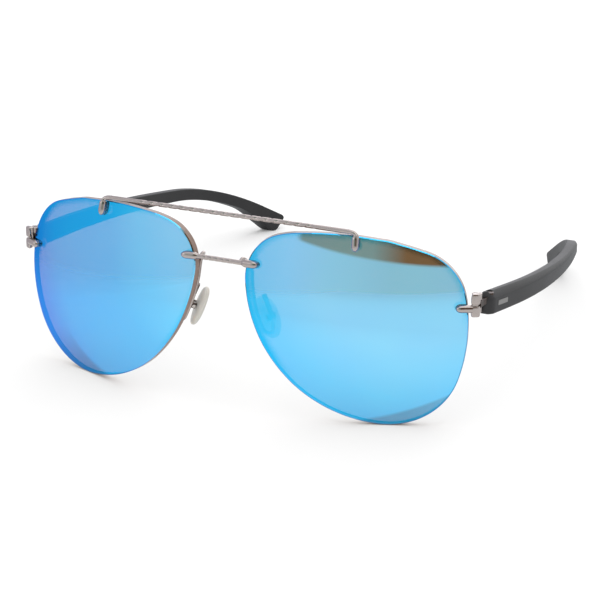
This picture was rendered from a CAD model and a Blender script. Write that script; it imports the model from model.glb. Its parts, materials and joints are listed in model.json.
"""Looks of the rimless aviator sunglasses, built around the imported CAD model.

Shapes are worked out in the face frame of the CAD model, in millimetres: the origin is midway between
the lenses, +X is the wearer's left, +Y runs back along the temples and +Z is up. FACE leans that frame
back onto the table and turns it into the row frame, in metres. The right side is the left one mirrored.
"""

import json
from math import asin, ceil, cos, pi, radians, sin, sqrt, tau

import bmesh
import bpy
import numpy as np
from mathutils import Matrix, Vector, geometry


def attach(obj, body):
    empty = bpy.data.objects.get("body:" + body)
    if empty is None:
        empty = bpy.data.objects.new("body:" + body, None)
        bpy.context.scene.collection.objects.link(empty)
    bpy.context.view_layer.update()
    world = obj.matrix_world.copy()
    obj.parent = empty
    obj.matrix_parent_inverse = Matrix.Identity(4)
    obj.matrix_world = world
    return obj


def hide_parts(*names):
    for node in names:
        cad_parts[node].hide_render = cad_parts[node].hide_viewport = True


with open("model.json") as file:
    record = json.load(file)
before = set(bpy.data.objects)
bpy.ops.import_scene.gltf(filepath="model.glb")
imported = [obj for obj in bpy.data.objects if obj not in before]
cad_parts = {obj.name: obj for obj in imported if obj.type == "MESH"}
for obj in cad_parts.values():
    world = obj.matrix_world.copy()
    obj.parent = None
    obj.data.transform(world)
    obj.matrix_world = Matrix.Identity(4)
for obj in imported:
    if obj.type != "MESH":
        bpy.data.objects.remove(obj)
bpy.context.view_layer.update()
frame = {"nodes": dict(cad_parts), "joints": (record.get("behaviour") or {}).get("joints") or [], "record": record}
NODES = frame["nodes"]
MM = 0.001
SIDES = ("left", "right")

# ---- driving dimensions, in millimetres and degrees, as the CAD model has them ----
BASE_R = 88.0                     # radius of a lens's front
LENS_T = 1.9                      # lens thickness
WRAP = radians(14)                # wrap of each lens around the face
BROW_POST = (-1.1, 22.3)          # posts through a lens, across and up from its centre
BRIDGE_POST = (-28.8, 14.2)
END_POST = (26.5, 6.7)
HOLE_R = 0.97                     # holes in the lens
POST_R = 0.6
BAR_R = 1.05                      # bullet-shaped bars that lie on the lens
BAR_LIFT = 0.55                   # height of a bar's axis above the lens
BROW_R = 0.62                     # wires
BRIDGE_R = 0.65
ARM_R = 0.5
PAD_SIZE = (2.2, 7.3, 12.0)       # thickness, width and length of a nose pad
PAD_AT = (2.7, 6.8, -2.6)         # middle of a pad, from the edge of the gap between the lenses
PAD_SPLAY = radians(30)
PAD_SLANT = radians(24)
NOSE_GAP = 15.0
HINGE_Z = 7.7                     # middle of a hinge
HINGE_FROM_POST = Vector((3, 3.87, 1))
KNUCKLE_R = 1.35
KNUCKLE_H = 1.7
KNUCKLE_BORE = 0.57
SEAT_R, SEAT_DEPTH = 0.97, 0.5    # seat of the hinge screw's head
TONGUE = (0.33, 1.57, 8.0)        # inner face, outer face and length of the hinge's tongue
LOCK_AT = (0.95, 5.6, 1.5)        # the screw that holds the temple on the tongue
LOCK_R, LOCK_HEAD_R = 0.52, 1.07
PLAY = 0.05
FIT = 0.02
TEMPLE_FROM_HINGE = (1.3, 1.4)    # middle of a temple's front end, outwards and back from the hinge
TEMPLE_TOP = 2.2                  # top of a temple's front end above the middle of the hinge
TEMPLE_T = 3.0                    # thickness of a temple, and of its ear end
EAR_T = 3.8
FRONT_H, WAIST_H, TIP_H = 6.0, 3.3, 5.8
SLOPE = radians(5.8)              # slope of a temple and of its ear end
EAR_DROP = radians(33)
SLOPE_LEN, BEND_R, TIP_LEN = 78.0, 75.0, 7.8
PLAN_TURN = (radians(5.5), radians(-14.5), radians(-33.5))
PLAN_R = (190.0, 100.0)
PLAN_LEN = 17.0
NOSE_R, TIP_R = 2.2, 1.4          # corners of the temple's front end and tip
BEVEL = 1.6                       # bevel of the front end on the outer face
INLAY = (5.6, 1.3, 8.8)           # pocket of the inlay: length, height and place along the temple


def T(x, y, z):
    return Matrix.Translation((x, y, z))


def R(angle, axis):
    return Matrix.Rotation(angle, 4, axis)


def ease(t):
    t = min(max(t, 0.0), 1.0)
    return t * t * (3 - 2 * t)


def even(a, b, n):
    """n + 1 evenly spaced numbers from a to b."""
    return [a + (b - a) * i / n for i in range(n + 1)]


def lens_place(at, lens_x):
    """Frame of a place on the left lens's front: +X to the temple, +Z up, -Y out of the lens."""
    lift = asin(at[1] / BASE_R)
    pan = asin(at[0] / (BASE_R * cos(lift)))
    return T(lens_x, 0, 0) @ R(WRAP, "Z") @ T(0, BASE_R, 0) @ R(pan, "Z") @ R(-lift, "X") @ T(0, -BASE_R, 0)


# ---- the face frame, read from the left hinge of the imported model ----
FOLD = next(j for j in frame["joints"] if j["name"] == "left_temple_fold")
LEAN = asin(FOLD["axis"][1])
HINGE_ROW = Vector(FOLD["pos_m"]) / MM
HINGE = Vector((HINGE_ROW.x, (HINGE_ROW.y - HINGE_Z * sin(LEAN)) / cos(LEAN), HINGE_Z))
LIFT = HINGE_ROW.z + HINGE.y * sin(LEAN) - HINGE_Z * cos(LEAN)
FACE = Matrix.Scale(MM, 4) @ T(0, 0, LIFT) @ R(-LEAN, "X")
LENS_X = HINGE.x - HINGE_FROM_POST.x - lens_place(END_POST, 0).translation.x
IN_LENS = T(LENS_X, 0, 0) @ R(WRAP, "Z")
LENS_CENTRE = IN_LENS @ Vector((0, BASE_R, 0))
BROW, BRIDGE, END = (lens_place(at, LENS_X) for at in (BROW_POST, BRIDGE_POST, END_POST))
ON_PAD = T(NOSE_GAP / 2 + PAD_AT[0], PAD_AT[1], PAD_AT[2]) @ R(-PAD_SLANT, "Y") @ R(-PAD_SPLAY, "Z")
AT_HINGE = Matrix.Translation(HINGE)
MIRROR = Matrix.Diagonal((-1, 1, 1, 1))


def side_matrix(side):
    return FACE @ MIRROR if side == "right" else FACE


# ---- materials ----
class Graph:
    """A node tree under construction, in a new material unless another owner is given."""

    def __init__(self, name, owner=None):
        self.owner = owner or bpy.data.materials.new(name)
        self.owner.use_nodes = True
        self.tree = self.owner.node_tree
        self.tree.nodes.clear()

    def node(self, kind, inputs=None, **settings):
        made = self.tree.nodes.new("ShaderNode" + kind)
        for key, value in settings.items():
            setattr(made, key, value)
        for key, value in (inputs or {}).items():
            if isinstance(value, bpy.types.NodeSocket):
                self.tree.links.new(value, made.inputs[key])
            elif isinstance(made.inputs[key].default_value, (int, float)):
                made.inputs[key].default_value = value
            else:
                size = len(made.inputs[key].default_value)
                made.inputs[key].default_value = (*value, 1.0)[:size]
        return made

    def math(self, operation, a, b=0.0):
        return self.node("Math", {0: a, 1: b}, operation=operation).outputs[0]

    def linear(self, value, factor, offset, clamp=False):
        """value * factor + offset"""
        terms = {0: value, 1: factor, 2: offset}
        return self.node("Math", terms, operation="MULTIPLY_ADD", use_clamp=clamp).outputs[0]

    def fade(self, value, start, end):
        """0 up to the start, 1 from the end on and even between them; the end may lie below the start."""
        return self.linear(value, 1 / (end - start), -start / (end - start), True)

    def product(self, first, *others):
        for other in others:
            first = self.math("MULTIPLY", first, other)
        return first

    def ramp(self, value, stops):
        made = self.node("ValToRGB", {"Fac": value})
        elements = made.color_ramp.elements
        while len(elements) < len(stops):
            elements.new(0.5)
        for element, (place, colour) in zip(elements, stops):
            element.position = place
            element.color = (*colour, 1)
        return made.outputs["Color"]

    def mix(self, factor, a, b, blend="MIX"):
        made = self.node("Mix", {0: factor, 6: a, 7: b}, data_type="RGBA", blend_type=blend)
        return made.outputs[2]

    def noise(self, size, detail=3.0, stretch=(1, 1, 1)):
        """Noise whose features are about this many millimetres across."""
        place = self.node("TexCoord").outputs["Object"]
        stretched = self.node("Mapping", {"Vector": place, "Scale": stretch}).outputs[0]
        scale = 1 / (size * MM)
        return self.node("TexNoise", {"Vector": stretched, "Scale": scale, "Detail": detail}).outputs[0]

    def bump(self, height, distance, strength=1.0):
        depth = distance * MM
        return self.node("Bump", {"Height": height, "Distance": depth, "Strength": strength}).outputs[0]

    def finish(self, shader):
        self.tree.links.new(shader.outputs[0], self.node("OutputMaterial").inputs[0])
        return self.owner


BEVEL_MASK = "rim_bevel"          # mesh attribute: 1 on the frosted bevel at the back of a lens's rim
TINT = (0.150, 0.075, 0.035)      # what the brown lens lets through


def neutral_bounce(g, shader, grey):
    """The shader as the camera and mirrors see it; shadows and bounced light get a neutral filter."""
    path = g.node("LightPath").outputs
    indirect = g.math("MAXIMUM", path["Is Shadow Ray"], path["Is Diffuse Ray"])
    filtered = g.node("BsdfTransparent", {"Color": (grey, grey, grey)})
    return g.node("MixShader", {0: indirect, 1: shader.outputs[0], 2: filtered.outputs[0]})


def mirror_coat():
    """A blue interference coat over a brown tint; its hue turns violet at a glancing angle."""
    g = Graph("mirror_coat")
    facing = g.node("LayerWeight", {"Blend": 0.5}).outputs["Facing"]
    hue = g.ramp(facing, [
        (0.02, (0.13, 0.64, 0.93)), (0.07, (0.13, 0.62, 0.93)), (0.16, (0.04, 0.56, 0.93)),
        (0.24, (0.010, 0.47, 0.89)), (0.45, (0.008, 0.40, 0.86)), (0.56, (0.015, 0.28, 0.80)),
        (0.75, (0.10, 0.17, 0.78)), (1.0, (0.75, 0.75, 0.9))])
    cloud = g.linear(g.noise(14, 1.0), 0.10, 0.95)
    hue = g.mix(1.0, hue, g.node("CombineColor", {0: cloud, 1: cloud, 2: 1.0}).outputs[0], "MULTIPLY")
    inside = g.node("NewGeometry").outputs["Backfacing"]
    hue = g.mix(inside, hue, (0.042, 0.055, 0.060))
    coat = g.node("BsdfGlossy", {"Color": hue, "Roughness": 0.012})
    through = g.node("BsdfTransparent", {"Color": TINT})
    both = g.node("AddShader", {0: coat.outputs[0], 1: through.outputs[0]})
    return g.finish(neutral_bounce(g, both, 0.64))


def lens_back():
    """Back of a lens: clear and very slightly cloudy, with a frosted bevel along the rim."""
    g = Graph("lens_back")
    plain = g.node("BsdfTransparent", {"Color": g.mix(g.noise(9), (0.94, 0.93, 0.92), (0.98, 0.97, 0.96))})
    brown = g.mix(g.noise(0.6), (0.045, 0.028, 0.020), (0.080, 0.052, 0.038))
    frost = g.node("BsdfPrincipled", {"Base Color": brown, "Roughness": 0.5})
    bevel = g.node("Attribute", attribute_name=BEVEL_MASK).outputs["Fac"]
    both = g.node("MixShader", {0: bevel, 1: plain.outputs[0], 2: frost.outputs[0]})
    return g.finish(neutral_bounce(g, both, 1.0))


def lens_edge():
    """Cut and polished edge of the brown lens."""
    g = Graph("lens_edge")
    lines = g.noise(0.5, 2.0)
    colour = g.mix(lines, (0.16, 0.095, 0.070), (0.34, 0.235, 0.190))
    colour = g.mix(g.node("NewGeometry").outputs["Backfacing"], colour, (0.010, 0.006, 0.004))
    return g.finish(g.node("BsdfPrincipled", {"Base Color": colour, "Roughness": 0.28, "Coat Weight": 0.4,
                                              "Coat Roughness": 0.1, "Normal": g.bump(lines, 0.01)}))


def metal(name, colour, roughness, grain=0.9, stretch=(1, 1, 1)):
    """Plated metal with a slightly uneven polish."""
    g = Graph(name)
    wear = g.noise(grain, 4.0, stretch)
    rough = g.linear(wear, 0.16, roughness - 0.08)
    dark = tuple(0.82 * c for c in colour)
    tone = g.mix(g.noise(3.5, 2.0), dark, colour)
    return g.finish(g.node("BsdfPrincipled", {"Base Color": tone, "Metallic": 1.0, "Roughness": rough,
                                              "Normal": g.bump(wear, 0.012, 0.5)}))


def matte_temple():
    """Charcoal moulding with a fine texture and slight cloudiness."""
    g = Graph("temple_matte")
    grain = g.noise(0.16, 2.0)
    cloud = g.noise(9, 3.0)
    tone = g.mix(cloud, (0.020, 0.020, 0.021), (0.032, 0.031, 0.032))
    rough = g.linear(cloud, 0.12, 0.40)
    return g.finish(g.node("BsdfPrincipled", {
        "Base Color": tone, "Roughness": rough, "Specular IOR Level": 0.25,
        "Normal": g.bump(grain, 0.03, 0.55)}))


def silicone():
    """Soft, slightly cloudy nose pad."""
    g = Graph("pad_silicone")
    cloud = g.noise(2.6, 3.0)
    tone = g.mix(cloud, (0.66, 0.64, 0.58), (0.82, 0.80, 0.75))
    return g.finish(g.node("BsdfPrincipled", {
        "Base Color": tone, "Roughness": 0.36, "Subsurface Weight": 0.35,
        "Subsurface Radius": (1.0, 0.9, 0.75), "Subsurface Scale": 1.2 * MM,
        "Transmission Weight": 0.18, "Normal": g.bump(g.noise(0.3), 0.02, 0.4)}))


def clear_plastic(name, colour, roughness):
    """Clear moulded part that lets light straight through."""
    g = Graph(name)
    cloud = g.mix(g.noise(0.8), tuple(0.9 * c for c in colour), colour)
    gloss = g.node("BsdfPrincipled", {"Base Color": cloud, "Roughness": roughness})
    clear = g.node("BsdfTransparent", {"Color": cloud})
    return g.finish(g.node("MixShader", {0: 0.55, 1: clear.outputs[0], 2: gloss.outputs[0]}))


HINGE_STEEL = metal("hinge_steel", (0.085, 0.062, 0.052), 0.30, 0.5)
MATERIALS = {
    "lens": [mirror_coat(), lens_edge(), lens_back()],
    "sleeve": [clear_plastic("sleeve_clear", (0.86, 0.88, 0.90), 0.15)],
    "frame_metal": [metal("frame_metal", (0.50, 0.44, 0.41), 0.20)],
    "screw_metal": [metal("screw_metal", (0.56, 0.52, 0.49), 0.24, 0.4)],
    "pad_core": [clear_plastic("pad_core_clear", (0.84, 0.83, 0.79), 0.25)],
    "pad": [silicone()],
    "temple": [matte_temple()],
    "inlay": [metal("inlay_satin", (0.30, 0.29, 0.28), 0.42, 0.25, (8, 1, 8))],
}


# ---- meshes ----
class Shape:
    """Closed shells collected into one mesh, in millimetres."""

    def __init__(self):
        self.verts, self.faces, self.slots = [], [], []

    def add(self, verts, faces, slot=0):
        base = len(self.verts)
        self.verts += [Vector(v) for v in verts]
        self.faces += [[base + i for i in f] for f in faces]
        self.slots += [slot] * len(faces)

    def object(self, name, matrix, sharp=32):
        mesh = bpy.data.meshes.new(name)
        mesh.from_pydata([matrix @ v for v in self.verts], [], self.faces)
        mesh.polygons.foreach_set("material_index", self.slots)
        tidy_mesh(mesh, sharp)
        made = bpy.data.objects.new(name, mesh)
        bpy.context.scene.collection.objects.link(made)
        return made


def tidy_mesh(mesh, sharp):
    """Faces point outwards, and shading is smooth except across sharp edges."""
    work = bmesh.new()
    work.from_mesh(mesh)
    bmesh.ops.recalc_face_normals(work, faces=work.faces)
    for f in work.faces:
        f.smooth = True
    work.to_mesh(mesh)
    work.free()
    mesh.set_sharp_from_angle(angle=radians(sharp))


def settle(made, body, slot, *stands_for):
    """Gives a finished piece its material, and puts it in its CAD nodes' place on its body."""
    for m in MATERIALS[slot]:
        made.data.materials.append(m)
    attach(made, body)
    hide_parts(*stands_for)


def rings(loops, closed_ends=True):
    """Faces that join equal rings of vertices, one after another, with a cap on each end."""
    n, count = len(loops[0]), len(loops)
    faces = [[i * n + j, i * n + (j + 1) % n, (i + 1) * n + (j + 1) % n, (i + 1) * n + j]
             for i in range(count - 1) for j in range(n)]
    if closed_ends:
        faces += [list(range(n))[::-1], [(count - 1) * n + j for j in range(n)]]
    return [v for loop in loops for v in loop], faces


def walk(points, distances):
    """Points at these distances along a polyline."""
    points = np.array(points, float)
    along = np.concatenate([[0], np.cumsum(np.linalg.norm(np.diff(points, axis=0), axis=1))])
    return [Vector([np.interp(d, along, points[:, k]) for k in range(3)]) for d in distances]


def length_of(points):
    return float(np.linalg.norm(np.diff(np.array(points, float), axis=0), axis=1).sum())


def smooth_path(points, steps=10):
    """Catmull-Rom curve through points."""
    points = [Vector(p) for p in points]
    padded = [2 * points[0] - points[1]] + points + [2 * points[-1] - points[-2]]
    out = []
    for a, b, c, d in zip(padded, padded[1:], padded[2:], padded[3:]):
        for i in range(steps):
            t = i / steps
            out.append(0.5 * (2 * b + (c - a) * t + (2 * a - 5 * b + 4 * c - d) * t ** 2
                              + (3 * b - a - 3 * c + d) * t ** 3))
    return out + [points[-1]]


def sweep(points, radius, distances, sides=24):
    """A closed round tube along a polyline; radius(distance, angle) may vary."""
    path = walk(points, distances)
    loops, normal = [], None
    for i, (p, d) in enumerate(zip(path, distances)):
        ahead = (path[min(i + 1, len(path) - 1)] - path[max(i - 1, 0)]).normalized()
        normal = ahead.orthogonal() if normal is None else normal
        normal = (normal - ahead * normal.dot(ahead)).normalized()
        across = ahead.cross(normal)
        loops.append([p + radius(d, a) * (cos(a) * normal + sin(a) * across)
                      for a in (tau * j / sides for j in range(sides))])
    return rings(loops)


def turned(profile, matrix, sides=40):
    """A closed ring turned about the matrix's Z from a closed profile of (radius, height)."""
    loops = [[matrix @ Vector((r * cos(a), r * sin(a), z)) for r, z in profile]
             for a in (tau * j / sides for j in range(sides))]
    verts, faces = rings(loops + loops[:1], False)
    n, total = len(profile), sides * len(profile)
    return verts[:total], [[i % total for i in f] for f in faces]


def post(shape, place):
    """Post through the lens, with a domed end behind it."""
    end = LENS_T + 0.45
    steps = [0, 0.3, end - 0.1, end + 0.12, end + 0.24, end + 0.30]
    radii = [POST_R, POST_R, POST_R, 0.92 * POST_R, 0.7 * POST_R, 0.35 * POST_R]
    points = [place @ Vector((0, y, 0)) for y in (-0.3, end)]
    shape.add(*sweep(points, lambda d, a: float(np.interp(d, steps, radii)), steps, 20))


NOSE_STOPS = [0, 0.02, 0.07, 0.15, 0.28, 0.45, 0.65, 0.9, 1.2]     # sections of a bar's round nose


def bullet_radius(d, wire_r, length, neck):
    """Radius at distance d from the round nose of a bar that narrows to a wire."""
    nose = 1.5 * BAR_R
    if d < nose:
        return BAR_R * sqrt(max(1 - (1 - d / nose) ** 2, 0.0004))
    return BAR_R + (wire_r - BAR_R) * ease((d - length) / neck)


def stops(length, step):
    """Distances along a bar: close together at both round noses and even between them."""
    start = 1.5
    middle = even(start, length - start, ceil((length - 2 * start) / step))
    return NOSE_STOPS + middle + [length - d for d in reversed(NOSE_STOPS)]


def seat(verts, on_right, reach):
    """Flattens the side of a bar that lies on the lens; reach(v) tells which points belong to the bar."""
    for v in verts:
        centre = mirrored(LENS_CENTRE) if on_right else LENS_CENTRE
        away = v - centre
        if reach(v) and away.length < BASE_R + FIT:
            v[:] = centre + away.normalized() * (BASE_R + FIT)


def mirrored(v):
    return Vector((-v[0], v[1], v[2]))


# ---- lenses ----
def lens_outline(count=288, harmonics=36):
    """Radius of the left lens's outline at even angles about its centre, smoothed from the CAD lens."""
    to_lens = (FACE @ IN_LENS).inverted()
    flat = [to_lens @ v.co for v in NODES["lens_left"].data.vertices]
    flat = [Vector((p.x, p.z)) for p in flat]
    hull = [flat[i] for i in geometry.convex_hull_2d(flat)]
    angles = np.array([np.arctan2(p.y, p.x) for p in hull]) % tau
    order = np.argsort(angles)
    radii = np.array([p.length for p in hull])[order]
    spread = np.interp(np.arange(count) * tau / count, angles[order], radii, period=tau)
    waves = np.fft.rfft(spread)
    waves[harmonics:] = 0
    return np.fft.irfft(waves, count).tolist()


def outline_at(outline, a):
    """Radius of the outline at an angle from 0 to a full turn."""
    count = len(outline)
    return float(np.interp(a, np.arange(count + 1) * tau / count, np.append(outline, outline[0])))


def inside_rim(outline, p):
    """How far a flat point lies inside the outline."""
    return outline_at(outline, np.arctan2(p.y, p.x) % tau) - p.length


def lens_points(outline, chamfer):
    """Flat points of a lens in rings along the outline and round the holes, and the loops at its edges."""
    holes = [(IN_LENS.inverted() @ place.translation).xz for place in (BROW, BRIDGE, END)]
    points, edges = [], []

    def loop(at, n):
        base = len(points)
        points.extend(at(tau * i / n) for i in range(n))
        edges.extend((base + i, base + (i + 1) % n) for i in range(n))
        return list(range(base, base + n))

    def rim_at(inset, scale=1.0):
        return lambda a: scale * (outline_at(outline, a) - inset) * Vector((cos(a), sin(a)))

    def hole_at(c, radius):
        return lambda a: c + radius * Vector((cos(a), sin(a)))

    rim = loop(rim_at(chamfer), len(outline))
    hole_loops = [loop(hole_at(c, HOLE_R), 28) for c in holes]
    inner = [(rim_at(chamfer + 0.8), 200, 3.2), (rim_at(chamfer + 2.0), 160, 3.2)]
    inner += [(rim_at(0, s / 22), 7 * s + 3, 3.2) for s in range(1, 21)]
    inner += [(hole_at(c, radius), 28, 1.2) for c in holes for radius in (1.35, 1.9, 2.7)]
    kept = []
    for at, n, clear in inner:
        for i in range(n):
            p = at(tau * i / n)
            from_hole = min((p - c).length for c in holes)
            apart = all((p - q).length > 0.35 for q in kept[-400:])
            if apart and from_hole > clear and inside_rim(outline, p) > chamfer + 0.55:
                kept.append(p)
    return points + kept, edges, rim, hole_loops, holes


def sphere_normals(made, centre):
    """Shades the front and the back of a lens as parts of true spheres."""
    mesh = made.data
    normals = [Vector(c.vector) for c in mesh.corner_normals]
    for polygon in mesh.polygons:
        sign = {FRONT: 1, BACK: -1}.get(polygon.material_index)
        if sign:
            for i in polygon.loop_indices:
                normals[i] = sign * (mesh.vertices[mesh.loops[i].vertex_index].co - centre).normalized()
    mesh.normals_split_custom_set(normals)


FRONT, EDGE, BACK, CHAMFER = range(4)     # kinds of faces of a lens; the first three are its materials


def lens(side):
    """A curved plate with three holes, cut from flat triangles that are laid on two spheres."""
    chamfer, bevel, bevel_fade = 0.22, 1.5, 0.8
    outline = lens_outline()
    points, edges, rim, hole_loops, holes = lens_points(outline, chamfer)
    flat, _, faces, _, _, _ = geometry.delaunay_2d_cdt(points, edges, [], 1, 1e-6)

    def from_hole(p):
        return min((p - c).length for c in holes)

    faces = [f for f in faces if from_hole(sum((flat[i] for i in f), Vector((0, 0))) / 3) > HOLE_R * 0.99]

    def sag(p, radius):
        return BASE_R - sqrt(radius * radius - p.x * p.x - p.y * p.y)

    def back_place(p):
        """The back is straight behind the front at the rim, and square to the surface at a hole."""
        square = 1 - ease((from_hole(p) - HOLE_R) / 4)
        return p * (1 - square * LENS_T / BASE_R)

    def put(p, y):
        return IN_LENS @ Vector((p.x, y, p.y))

    def bevel_at(p):
        """1 on the bevel, which runs along the top and the nose side and thins out at the bottom."""
        upper = sin(np.arctan2(p.y, p.x) - 0.35)
        return ease((bevel - inside_rim(outline, p)) / bevel_fade) * ease((upper + 0.45) / 0.5)

    n, count = len(flat), len(outline)
    front = [put(p, sag(p, BASE_R)) for p in flat]
    back = [put(q, sag(q, BASE_R - LENS_T)) for q in map(back_place, flat)]
    turns = [tau * i / count for i in range(count)]
    full = [radius * Vector((cos(a), sin(a))) for a, radius in zip(turns, outline)]
    wall = [put(p, sag(p, BASE_R) + chamfer) for p in full]
    wall += [put(p, sag(p, BASE_R - LENS_T) - chamfer) for p in full]
    shape = Shape()
    shape.add(front + back + wall, faces, FRONT)
    shape.faces += [[n + i for i in reversed(f)] for f in faces]
    shape.slots += [BACK] * len(faces)
    bands = [rim, list(range(2 * n, 2 * n + count)), list(range(2 * n + count, 2 * n + 2 * count)),
             [n + i for i in rim]]
    strips = list(zip(bands, bands[1:], (CHAMFER, EDGE, EDGE)))
    strips += [(ring, [n + i for i in ring], EDGE) for ring in hole_loops]
    for a, b, kind in strips:
        shape.faces += [[a[i], b[i], b[(i + 1) % len(a)], a[(i + 1) % len(a)]] for i in range(len(a))]
        shape.slots += [kind] * len(a)
    matrix = side_matrix(side)
    made = shape.object(f"mirror_lens_{side}", matrix, 20)
    sphere_normals(made, matrix @ LENS_CENTRE)
    for polygon in made.data.polygons:
        if polygon.material_index == CHAMFER:
            polygon.material_index = FRONT
    masks = [float(bevel_at(p)) for p in flat]
    mask = made.data.attributes.new(BEVEL_MASK, "FLOAT", "POINT")
    mask.data.foreach_set("value", masks + masks + [0.0] * len(wall))
    settle(made, "front", "lens", f"lens_{side}")


# ---- wires on the front ----
def front_wire(name, node, place, half, taper, cuts, step, on_bar):
    """A wire with a bullet-shaped bar and a post at each end, diamond-cut along its middle."""
    cut_half, fade, pitch, depth = cuts
    points = half + [mirrored(p) for p in reversed(half)]
    total = length_of(points)

    def radius(d, a):
        cut = ease((cut_half - abs(d - total / 2)) / fade)
        facet = max(cos(2 * a + pi * d / pitch), 0) ** 2
        return bullet_radius(min(d, total - d), *taper) * (1 - cut * depth * facet)

    verts, faces = sweep(points, radius, stops(total, step), 28)
    seat(verts, False, lambda v: v.x > 0 and on_bar(v))
    seat(verts, True, lambda v: v.x < 0 and on_bar(mirrored(v)))
    shape = Shape()
    shape.add(verts, faces)
    post(shape, place)
    post(shape, MIRROR @ place)
    settle(shape.object(name, FACE, 40), "front", "frame_metal", node)


def brow_bar():
    """The upper wire hooks down to its bars."""
    hook = BROW @ Vector((0, -BAR_LIFT, 2.2))
    end = hook + Vector((-2.4, 0.3, 1.1))
    corner = Vector((hook.x, end.y, end.z))
    half = [BROW @ Vector((0, -BAR_LIFT, z)) for z in (-1.7, 0, 1.5)]
    half += [(1 - t) ** 2 * hook + 2 * t * (1 - t) * corner + t * t * end for t in even(0, 1, 12)]
    bar_top = (BROW @ Vector((0, 0, 2.3))).z
    front_wire("brow_wire", "brow_bar", BROW, half, (BROW_R, 3.2, 1.5), (27.5, 3.0, 1.55, 0.24), 0.22,
               lambda v: v.z < bar_top)


def bridge_root():
    """Where the lower bridge's wire leaves its left bar."""
    return BRIDGE @ Vector((-2.8, -BAR_LIFT, 0))


def lower_bridge():
    """The lower wire runs straight into its bars."""
    root = bridge_root()
    half = [BRIDGE @ Vector((x, -BAR_LIFT, 0)) for x in (1.6, 0, -2.2)] + [root]
    front_wire("bridge_wire", "lower_bridge", BRIDGE, half, (BRIDGE_R, 3.9, 1.0), (5.2, 1.2, 0.9, 0.12), 0.2,
               lambda v: v.x > root.x)


def pad_arm(side):
    """A thin wire from the bridge down to the pad's box."""
    root = bridge_root()
    offsets = [(-1.1, 0, 0), (-1.0, 2.3, 0.4), (0.6, 3.7, -2.3), (1.2, 3.3, -7.3), (2.4, 2.7, -12.6),
               (4.9, 2.6, -18.6), (6.6, 4.4, -19.3)]
    foot = ON_PAD @ Vector((PAD_SIZE[0] / 2 + 1.4, 0, -0.6))
    points = smooth_path([root + Vector(o) for o in offsets] + [foot])
    total = length_of(points)
    shape = Shape()
    shape.add(*sweep(points, lambda d, a: ARM_R, [total * i / 160 for i in range(161)], 18))
    settle(shape.object(f"pad_wire_{side}", side_matrix(side)), "front", "frame_metal", f"pad_arm_{side}")


# ---- nose pads ----
def nose_pad(side):
    """A crowned oval cushion, fuller towards the nose than behind."""
    thick, wide, long = PAD_SIZE
    around, across = 56, 12
    loops = []
    turns = [(cos(tau * j / around), sin(tau * j / around)) for j in range(around)]
    levels = [sin(pi / 2 * i / across) for i in range(1, across + 1)]
    for face, fullness, sizes in ((-1, 0.50, levels), (1, 0.42, levels[-2::-1])):
        for rho in sizes:
            x = face * thick / 2 * (1 - rho ** 5) ** fullness
            loops.append([ON_PAD @ Vector((x, rho * wide / 2 * c, rho * long / 2 * s * (1 + 0.05 * c)))
                          for c, s in turns])
    shape = Shape()
    shape.add(*rings(loops))
    made = shape.object(f"pad_cushion_{side}", side_matrix(side), 80)
    settle(made, f"{side}_pad", "pad", f"nose_pad_{side}")


# ---- end pieces ----
def rounded(outline, rounds=3):
    """Chaikin corner cutting of a closed outline."""
    points = [Vector(p) for p in outline]
    near = 0.22
    for _ in range(rounds):
        sides = zip(points, points[1:] + points[:1])
        points = [q for a, b in sides for q in (a + near * (b - a), b + near * (a - b))]
    return points


def band(outline, low, high, edge, bulge):
    """A block with a convex side: its outline shrinks towards the top and the bottom."""
    points = rounded(outline)
    middle = sum(points, Vector((0, 0))) / len(points)
    reach = max((p - middle).length for p in points)
    half, centre = (high - low) / 2, (high + low) / 2
    loops = []
    for i in range(-9, 10):
        t = sin(pi / 2 * i / 9)
        corner = max(abs(t) * half - (half - edge), 0) / edge
        shrink = bulge * t * t + edge * (1 - sqrt(max(1 - corner ** 2, 0)))
        loops.append([AT_HINGE @ Vector((*(middle + (p - middle) * (1 - shrink / reach)), centre + t * half))
                      for p in points])
    return rings(loops)


def knuckle(low, high, head):
    """A hinge knuckle with its bore; the upper one is sunk for the screw's head."""
    soft, sunk = 0.12, high - SEAT_DEPTH
    profile = [(KNUCKLE_BORE, low), (KNUCKLE_R - soft, low), (KNUCKLE_R, low + soft),
               (KNUCKLE_R, high - soft), (KNUCKLE_R - soft, high)]
    profile += [(SEAT_R, high), (SEAT_R, sunk), (KNUCKLE_BORE, sunk)] if head else [(KNUCKLE_BORE, high)]
    return turned(profile, AT_HINGE)


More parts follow.
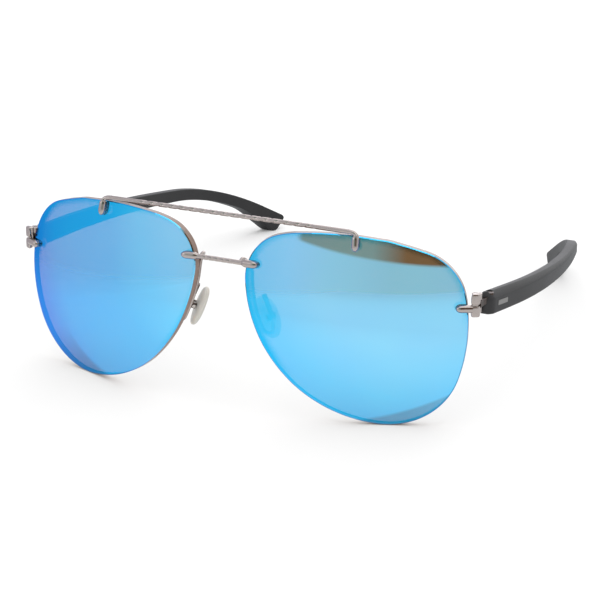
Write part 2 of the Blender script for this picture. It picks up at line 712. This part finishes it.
def end_piece(side):
    """Two convex bands over a darker groove, the hinge's outer knuckles and the bar on the lens."""
    block = [(-0.45, -3.8), (1.3, -2.85), (1.75, -2.35), (1.75, -1.65), (1.35, -1.25), (-0.45, -1.25)]
    groove = [(-0.45, -3.3), (1.1, -2.3), (1.2, -1.3), (-0.45, -1.3)]
    web = [(-0.45, -1.45), (0.95, -1.45), (0.95, -1.0), (-0.45, -1.0)]
    half, tall = 3.1, 2.86
    shape = Shape()
    shape.add(*band(block, -half, -half + tall, 0.35, 0.22))
    shape.add(*band(block, half - tall, half, 0.35, 0.22))
    shape.add(*band(groove, -1.0, 1.0, 0.1, 0.0))
    inner = KNUCKLE_H / 2 + PLAY
    shape.add(*knuckle(inner, inner + KNUCKLE_H, True))
    shape.add(*knuckle(-inner - KNUCKLE_H, -inner, False))
    for low in (inner, -inner - KNUCKLE_H):
        shape.add(*band(web, low, low + KNUCKLE_H, 0.1, 0.0))
    points = [END @ Vector((x, -BAR_LIFT, 0)) for x in (-1.3, 3.0)]
    total = length_of(points)
    verts, faces = sweep(points, lambda d, a: bullet_radius(d, BAR_R, 9, 1),
                         NOSE_STOPS + [1.6, 2.2, 3.0, 3.6, total], 28)
    seat(verts, False, lambda v: True)
    shape.add(verts, faces)
    post(shape, END)
    made = shape.object(f"end_block_{side}", side_matrix(side), 35)
    settle(made, "front", "frame_metal", f"end_piece_{side}")


# ---- temples ----
PLAN_X, TEMPLE_Y = HINGE.x + TEMPLE_FROM_HINGE[0], HINGE.y + TEMPLE_FROM_HINGE[1]
BEND_END = SLOPE_LEN + BEND_R * (EAR_DROP - SLOPE)
TEMPLE_LEN = BEND_END + TIP_LEN


def along(g):
    return Vector((cos(g), -sin(g)))


def below(g):
    return Vector((-sin(g), -cos(g)))


def top_edge(s):
    """Point (back, up) of the temple's top edge at length s, and its slope there."""
    start = Vector((TEMPLE_Y + FRONT_H * sin(SLOPE), HINGE_Z + TEMPLE_TOP))
    if s < SLOPE_LEN:
        return start + s * along(SLOPE), SLOPE
    g = min(SLOPE + (s - SLOPE_LEN) / BEND_R, EAR_DROP)
    bend = start + SLOPE_LEN * along(SLOPE) + BEND_R * Vector((sin(g) - sin(SLOPE), cos(g) - cos(SLOPE)))
    return bend + max(s - BEND_END, 0) * along(g), g


def temple_height(s):
    def plain(s):
        return FRONT_H + (WAIST_H - FRONT_H) * ease(s / 105) + (TIP_H - WAIST_H) * ease((s - 106) / 16)
    if s < BEND_END:
        return plain(s)
    return plain(BEND_END) + (TIP_H - plain(BEND_END)) * min((s - BEND_END) / (TIP_LEN - TIP_R), 1)


def plan_band():
    """Outer and inner face of the temple seen from above, as functions of the distance back."""
    heading, p, line = PLAN_TURN[0], Vector((PLAN_X, TEMPLE_Y)), []
    line += [(p + d * Vector((sin(heading), cos(heading))), heading) for d in even(0, PLAN_LEN, 5)[:-1]]
    p = p + PLAN_LEN * Vector((sin(heading), cos(heading)))
    for r, h0, h1 in ((PLAN_R[0], PLAN_TURN[0], PLAN_TURN[1]), (PLAN_R[1], PLAN_TURN[1], PLAN_TURN[2])):
        line += [(p + r * Vector((cos(h) - cos(h0), sin(h0) - sin(h))), h) for h in even(h0, h1, 40)[:-1]]
        p = p + r * Vector((cos(h1) - cos(h0), sin(h0) - sin(h1)))
    line += [(p + d * Vector((sin(h1), cos(h1))), h1) for d in (0, 10, 20)]
    outer = [q + TEMPLE_T / 2 * Vector((cos(h), -sin(h))) for q, h in line]
    inner = [q - (TEMPLE_T / 2 + (EAR_T - TEMPLE_T) * ease((q.y - 95) / 30)) * Vector((cos(h), -sin(h)))
             for q, h in line]

    def face(points):
        ys, xs = [q.y for q in points], [q.x for q in points]
        return lambda y: float(np.interp(y, ys, xs))

    outer_at, inner_at = face(outer), face(inner)
    return lambda y: outer_at(y) - BEVEL * max(1 - (y - TEMPLE_Y) / (2 * BEVEL), 0), inner_at


def corner_inset(distance, radius):
    """How far a rounded corner stands back at this distance from the end."""
    return radius - sqrt(radius ** 2 - max(radius - distance, 0) ** 2)


def temple_ring(s, outer_at, inner_at):
    """Section of the temple: flat sides, a wide bevel on the outer top edge, small round edges elsewhere."""
    (y0, z0), g = top_edge(s)
    height = temple_height(s)
    soft_end = corner_inset(min(s, TEMPLE_LEN - s), 0.45)
    inset = max(corner_inset(s, NOSE_R), corner_inset(TEMPLE_LEN - s, TIP_R)) + soft_end
    tall = height - 2 * inset
    back, drop = below(g)
    wide = 0.7 + 0.9 * (1 - ease(s / 70))
    deep = min(wide * 1.15, 0.34 * tall)
    small = min(0.42, 0.3 * tall)
    arc = [(small * (1 - sin(a)), small * (1 - cos(a))) for a in (radians(d) for d in (0, 30, 60, 90))]
    bevel = [(wide + 0.25, 0.0), (wide, 0.03), (wide - 0.12, 0.10),
             (0.10, deep - 0.12), (0.03, deep), (0.0, deep + 0.25)]
    faces = 6
    ring = [(1, a, v) for a, v in bevel]
    top, bottom = deep + 0.25, tall - small
    ring += [(1, 0, top + (bottom - top) * i / faces) for i in range(1, faces)]
    ring += [(1, a, tall - v) for a, v in reversed(arc)]
    ring += [(-1, a, tall - v) for a, v in arc]
    ring += [(-1, 0, bottom - (bottom - small) * i / faces) for i in range(1, faces)]
    ring += [(-1, a, v) for a, v in reversed(arc)]
    points = []
    for outside, a, v in ring:
        down = inset + v
        y, z = y0 + down * back, z0 + down * drop
        x = outer_at(y) - a - soft_end if outside > 0 else inner_at(y) + a + soft_end
        points.append(Vector((x, y, z)))
    return points


def box_cutter(matrix, low, high):
    """A box between two corners, in a frame of the face."""
    xs, ys, zs = zip(low, high)
    verts = [matrix @ Vector((x, y, z)) for x in xs for y in ys for z in zs]
    faces = [[0, 1, 3, 2], [4, 6, 7, 5], [0, 4, 5, 1], [2, 3, 7, 6], [0, 2, 6, 4], [1, 5, 7, 3]]
    shape = Shape()
    shape.add(verts, faces)
    return shape


def screw_cutter(matrix, levels):
    """Stacked cylinders from (radius, height) pairs, for a stepped hole."""
    shape = Shape()
    loops = [[matrix @ Vector((r * cos(a), r * sin(a), z)) for a in (tau * j / 40 for j in range(40))]
             for r, z in levels]
    shape.add(*rings(loops))
    return shape


def cut(made, cutters, sharp):
    """Takes solids away from a piece."""
    for cutter in cutters:
        step = made.modifiers.new("cut", "BOOLEAN")
        step.operation, step.solver, step.object = "DIFFERENCE", "EXACT", cutter
    bpy.context.view_layer.update()
    graph = bpy.context.evaluated_depsgraph_get()
    mesh = bpy.data.meshes.new_from_object(made.evaluated_get(graph))
    made.modifiers.clear()
    made.data = mesh
    tidy_mesh(mesh, sharp)
    for cutter in cutters:
        bpy.data.objects.remove(cutter)


def temple(side):
    """The moulding with its pockets; both sides are cut in the left one's place."""
    outer_at, inner_at = plan_band()
    ends = [0, 0.05, 0.15, 0.3, 0.45, 0.7, 1.0, 1.4, 1.8]
    steps = ends + even(2.2, TEMPLE_LEN - 2.2, 110) + [TEMPLE_LEN - d for d in reversed(ends)]
    shape = Shape()
    shape.add(*rings([temple_ring(s, outer_at, inner_at) for s in steps]))
    made = shape.object(f"temple_arm_{side}", FACE)
    turn = R(-PLAN_TURN[0], "Z")
    inner, outer, reach = TONGUE
    slot = KNUCKLE_H / 2 + FIT
    length, height, place = INLAY
    long, high = length / 2 + FIT, height / 2 + FIT
    pocket = T(PLAN_X, TEMPLE_Y, HINGE_Z) @ turn @ T(TEMPLE_T / 2, place, -1.95) @ R(-SLOPE, "X")
    cutters = [
        box_cutter(AT_HINGE @ turn, (inner, -1, -slot), (outer, reach + FIT, slot)),
        screw_cutter(AT_HINGE @ turn @ T(*LOCK_AT),
                     [(LOCK_R, -3.62), (LOCK_R, -0.62), (LOCK_HEAD_R, -0.62), (LOCK_HEAD_R, 3)]),
        box_cutter(pocket, (-0.44, -long, -high), (1, long, high))]
    cut(made, [c.object("cutter", FACE) for c in cutters], 28)
    if side == "right":
        made.data.transform(MIRROR)
        tidy_mesh(made.data, 28)
    settle(made, f"{side}_temple", "temple", f"temple_{side}")


# ---- CAD nodes that stay, with softened edges and their own materials ----
def dress_nodes():
    """Kept nodes get a material, welded seams and a fine bevel; hinges and pad boxes are of darker steel."""
    slots = {row["node"]: row["material_slot"] for row in frame["record"]["subparts"]}
    for name, node in NODES.items():
        if node.hide_render:
            continue
        node.data.materials.clear()
        dark = name.startswith(("temple_hinge", "temple_screw", "pad_box"))
        node.data.materials.append(HINGE_STEEL if dark else MATERIALS[slots[name]][0])
        weld = node.modifiers.new("weld", "WELD")
        weld.merge_threshold = 0.0001 * MM
        soften = node.modifiers.new("edges", "BEVEL")
        soften.width, soften.segments = 0.05 * MM, 2
        soften.limit_method, soften.angle_limit = "ANGLE", radians(50)
        node.modifiers.new("shading", "WEIGHTED_NORMAL").keep_sharp = True


# ---- studio ----
def studio_world():
    """White all round; mirrors see a grey wall above the floor with a dark panel high on it."""
    world = bpy.data.worlds.new("studio")
    bpy.context.scene.world = world
    g = Graph("studio", world)
    x, y, z = g.node("SeparateXYZ", {0: g.node("TexCoord").outputs["Generated"]}).outputs
    around = g.math("MULTIPLY", g.math("ARCTAN2", x, g.math("MULTIPLY", y, -1.0)), 180 / pi)
    up = g.math("MULTIPLY", g.math("ARCSINE", z), 180 / pi)
    above_edge = g.math("ADD", g.linear(around, 0.10, -12.9), up)
    dark = g.product(g.fade(above_edge, -0.625, 0.625), g.fade(around, -20.5, -17.64),
                     g.fade(around, 62, 52), g.fade(up, 62, 52))
    panel = g.mix(g.fade(around, 10, 22.5), (0.16, 0.31, 0.25), (0.10, 0.035, 0.012))
    wall = g.ramp(g.linear(around, 1 / 360, 0.5), [
        (0.24, (0.70, 0.70, 0.78)), (0.31, (0.75, 0.76, 0.82)), (0.39, (0.78, 0.80, 0.85)),
        (0.44, (0.78, 0.80, 0.86)), (0.48, (0.74, 0.76, 0.76)), (0.55, (0.64, 0.66, 0.63)),
        (0.66, (0.64, 0.66, 0.66)), (0.80, (0.80, 0.82, 0.84))])
    mirror_ray = g.node("LightPath").outputs["Is Glossy Ray"]
    colour = g.mix(mirror_ray, (1, 1, 1), g.mix(dark, wall, panel))
    sky = g.node("Background", {"Color": colour, "Strength": 1.0})
    g.tree.links.new(sky.outputs[0], g.node("OutputWorld").inputs[0])


def floor():
    """Pale paper; mirrors see it darker behind the front and further away, and fading out on the left."""
    half = 6.0
    mesh = bpy.data.meshes.new("floor")
    corners = [(-half, -half, 0), (half, -half, 0), (half, half, 0), (-half, half, 0)]
    mesh.from_pydata(corners, [], [(0, 1, 2, 3)])
    made = bpy.data.objects.new("floor", mesh)
    bpy.context.scene.collection.objects.link(made)
    g = Graph("floor_paper")
    place = g.node("TexCoord").outputs["Object"]
    x, y, _ = g.node("SeparateXYZ", {0: place}).outputs
    away = g.node("VectorMath", {0: place}, operation="LENGTH").outputs["Value"]
    mirror_ray = g.node("LightPath").outputs["Is Glossy Ray"]
    behind = g.product(g.fade(y, 0.45 * MM, 1.65 * MM), g.fade(x, -78 * MM, -44 * MM), mirror_ray)
    distant = g.product(g.fade(away, 50 * MM, 140 * MM), mirror_ray)
    beyond = g.product(g.fade(x, -105 * MM, -195 * MM), mirror_ray)
    tone = g.mix(g.noise(60), (0.85, 0.85, 0.85), (0.87, 0.87, 0.87))
    tone = g.mix(behind, tone, (0.54, 0.53, 0.54))
    tone = g.mix(distant, tone, (0.72, 0.74, 0.76))
    paper, gap = g.node("BsdfDiffuse", {"Color": tone}), g.node("BsdfTransparent")
    both = g.node("MixShader", {0: beyond, 1: paper.outputs[0], 2: gap.outputs[0]})
    made.data.materials.append(g.finish(both))


def softbox(name, place, aim, size, power):
    """A square lamp at a place, in metres, that shines at another."""
    light = bpy.data.lights.new(name, "AREA")
    light.size, light.energy = size, power
    made = bpy.data.objects.new(name, light)
    made.location = place
    made.rotation_mode = "QUATERNION"
    made.rotation_quaternion = (Vector(place) - Vector(aim)).to_track_quat("Z", "Y")
    bpy.context.scene.collection.objects.link(made)


def camera():
    """Looks down at the wearer's left side of the front."""
    azimuth, elevation, roll, distance = radians(25.07), radians(18.05), radians(0.688), 612.9
    aim = Vector((11.91, 23.69, -2.50))
    back = Vector((sin(azimuth) * cos(elevation), -cos(azimuth) * cos(elevation), sin(elevation)))
    turn = R(-LEAN, "X") @ back.to_track_quat("Z", "Y").to_matrix().to_4x4() @ R(roll, "Z")
    data = bpy.data.cameras.new("camera")
    data.sensor_width, data.lens = 36, 133.9
    data.clip_start, data.clip_end = 0.01, 50
    made = bpy.data.objects.new("camera", data)
    made.matrix_world = Matrix.Translation(FACE @ (aim + distance * back)) @ turn
    bpy.context.scene.collection.objects.link(made)
    bpy.context.scene.camera = made


for side in SIDES:
    lens(side)
    pad_arm(side)
    nose_pad(side)
    end_piece(side)
    temple(side)
brow_bar()
lower_bridge()
dress_nodes()

studio_world()
floor()
softbox("overhead", (0.1, 0.1, 0.9), (0, 0.05, 0), 0.9, 1.9)
softbox("front_left", (-0.7, -0.5, 0.5), (0, 0.03, 0.02), 0.4, 0.5)
softbox("behind", (-0.05, 1.0, 0.45), (0.05, 0.08, 0.02), 1.0, 3.5)
camera()
bpy.context.scene.view_settings.view_transform = "Standard"
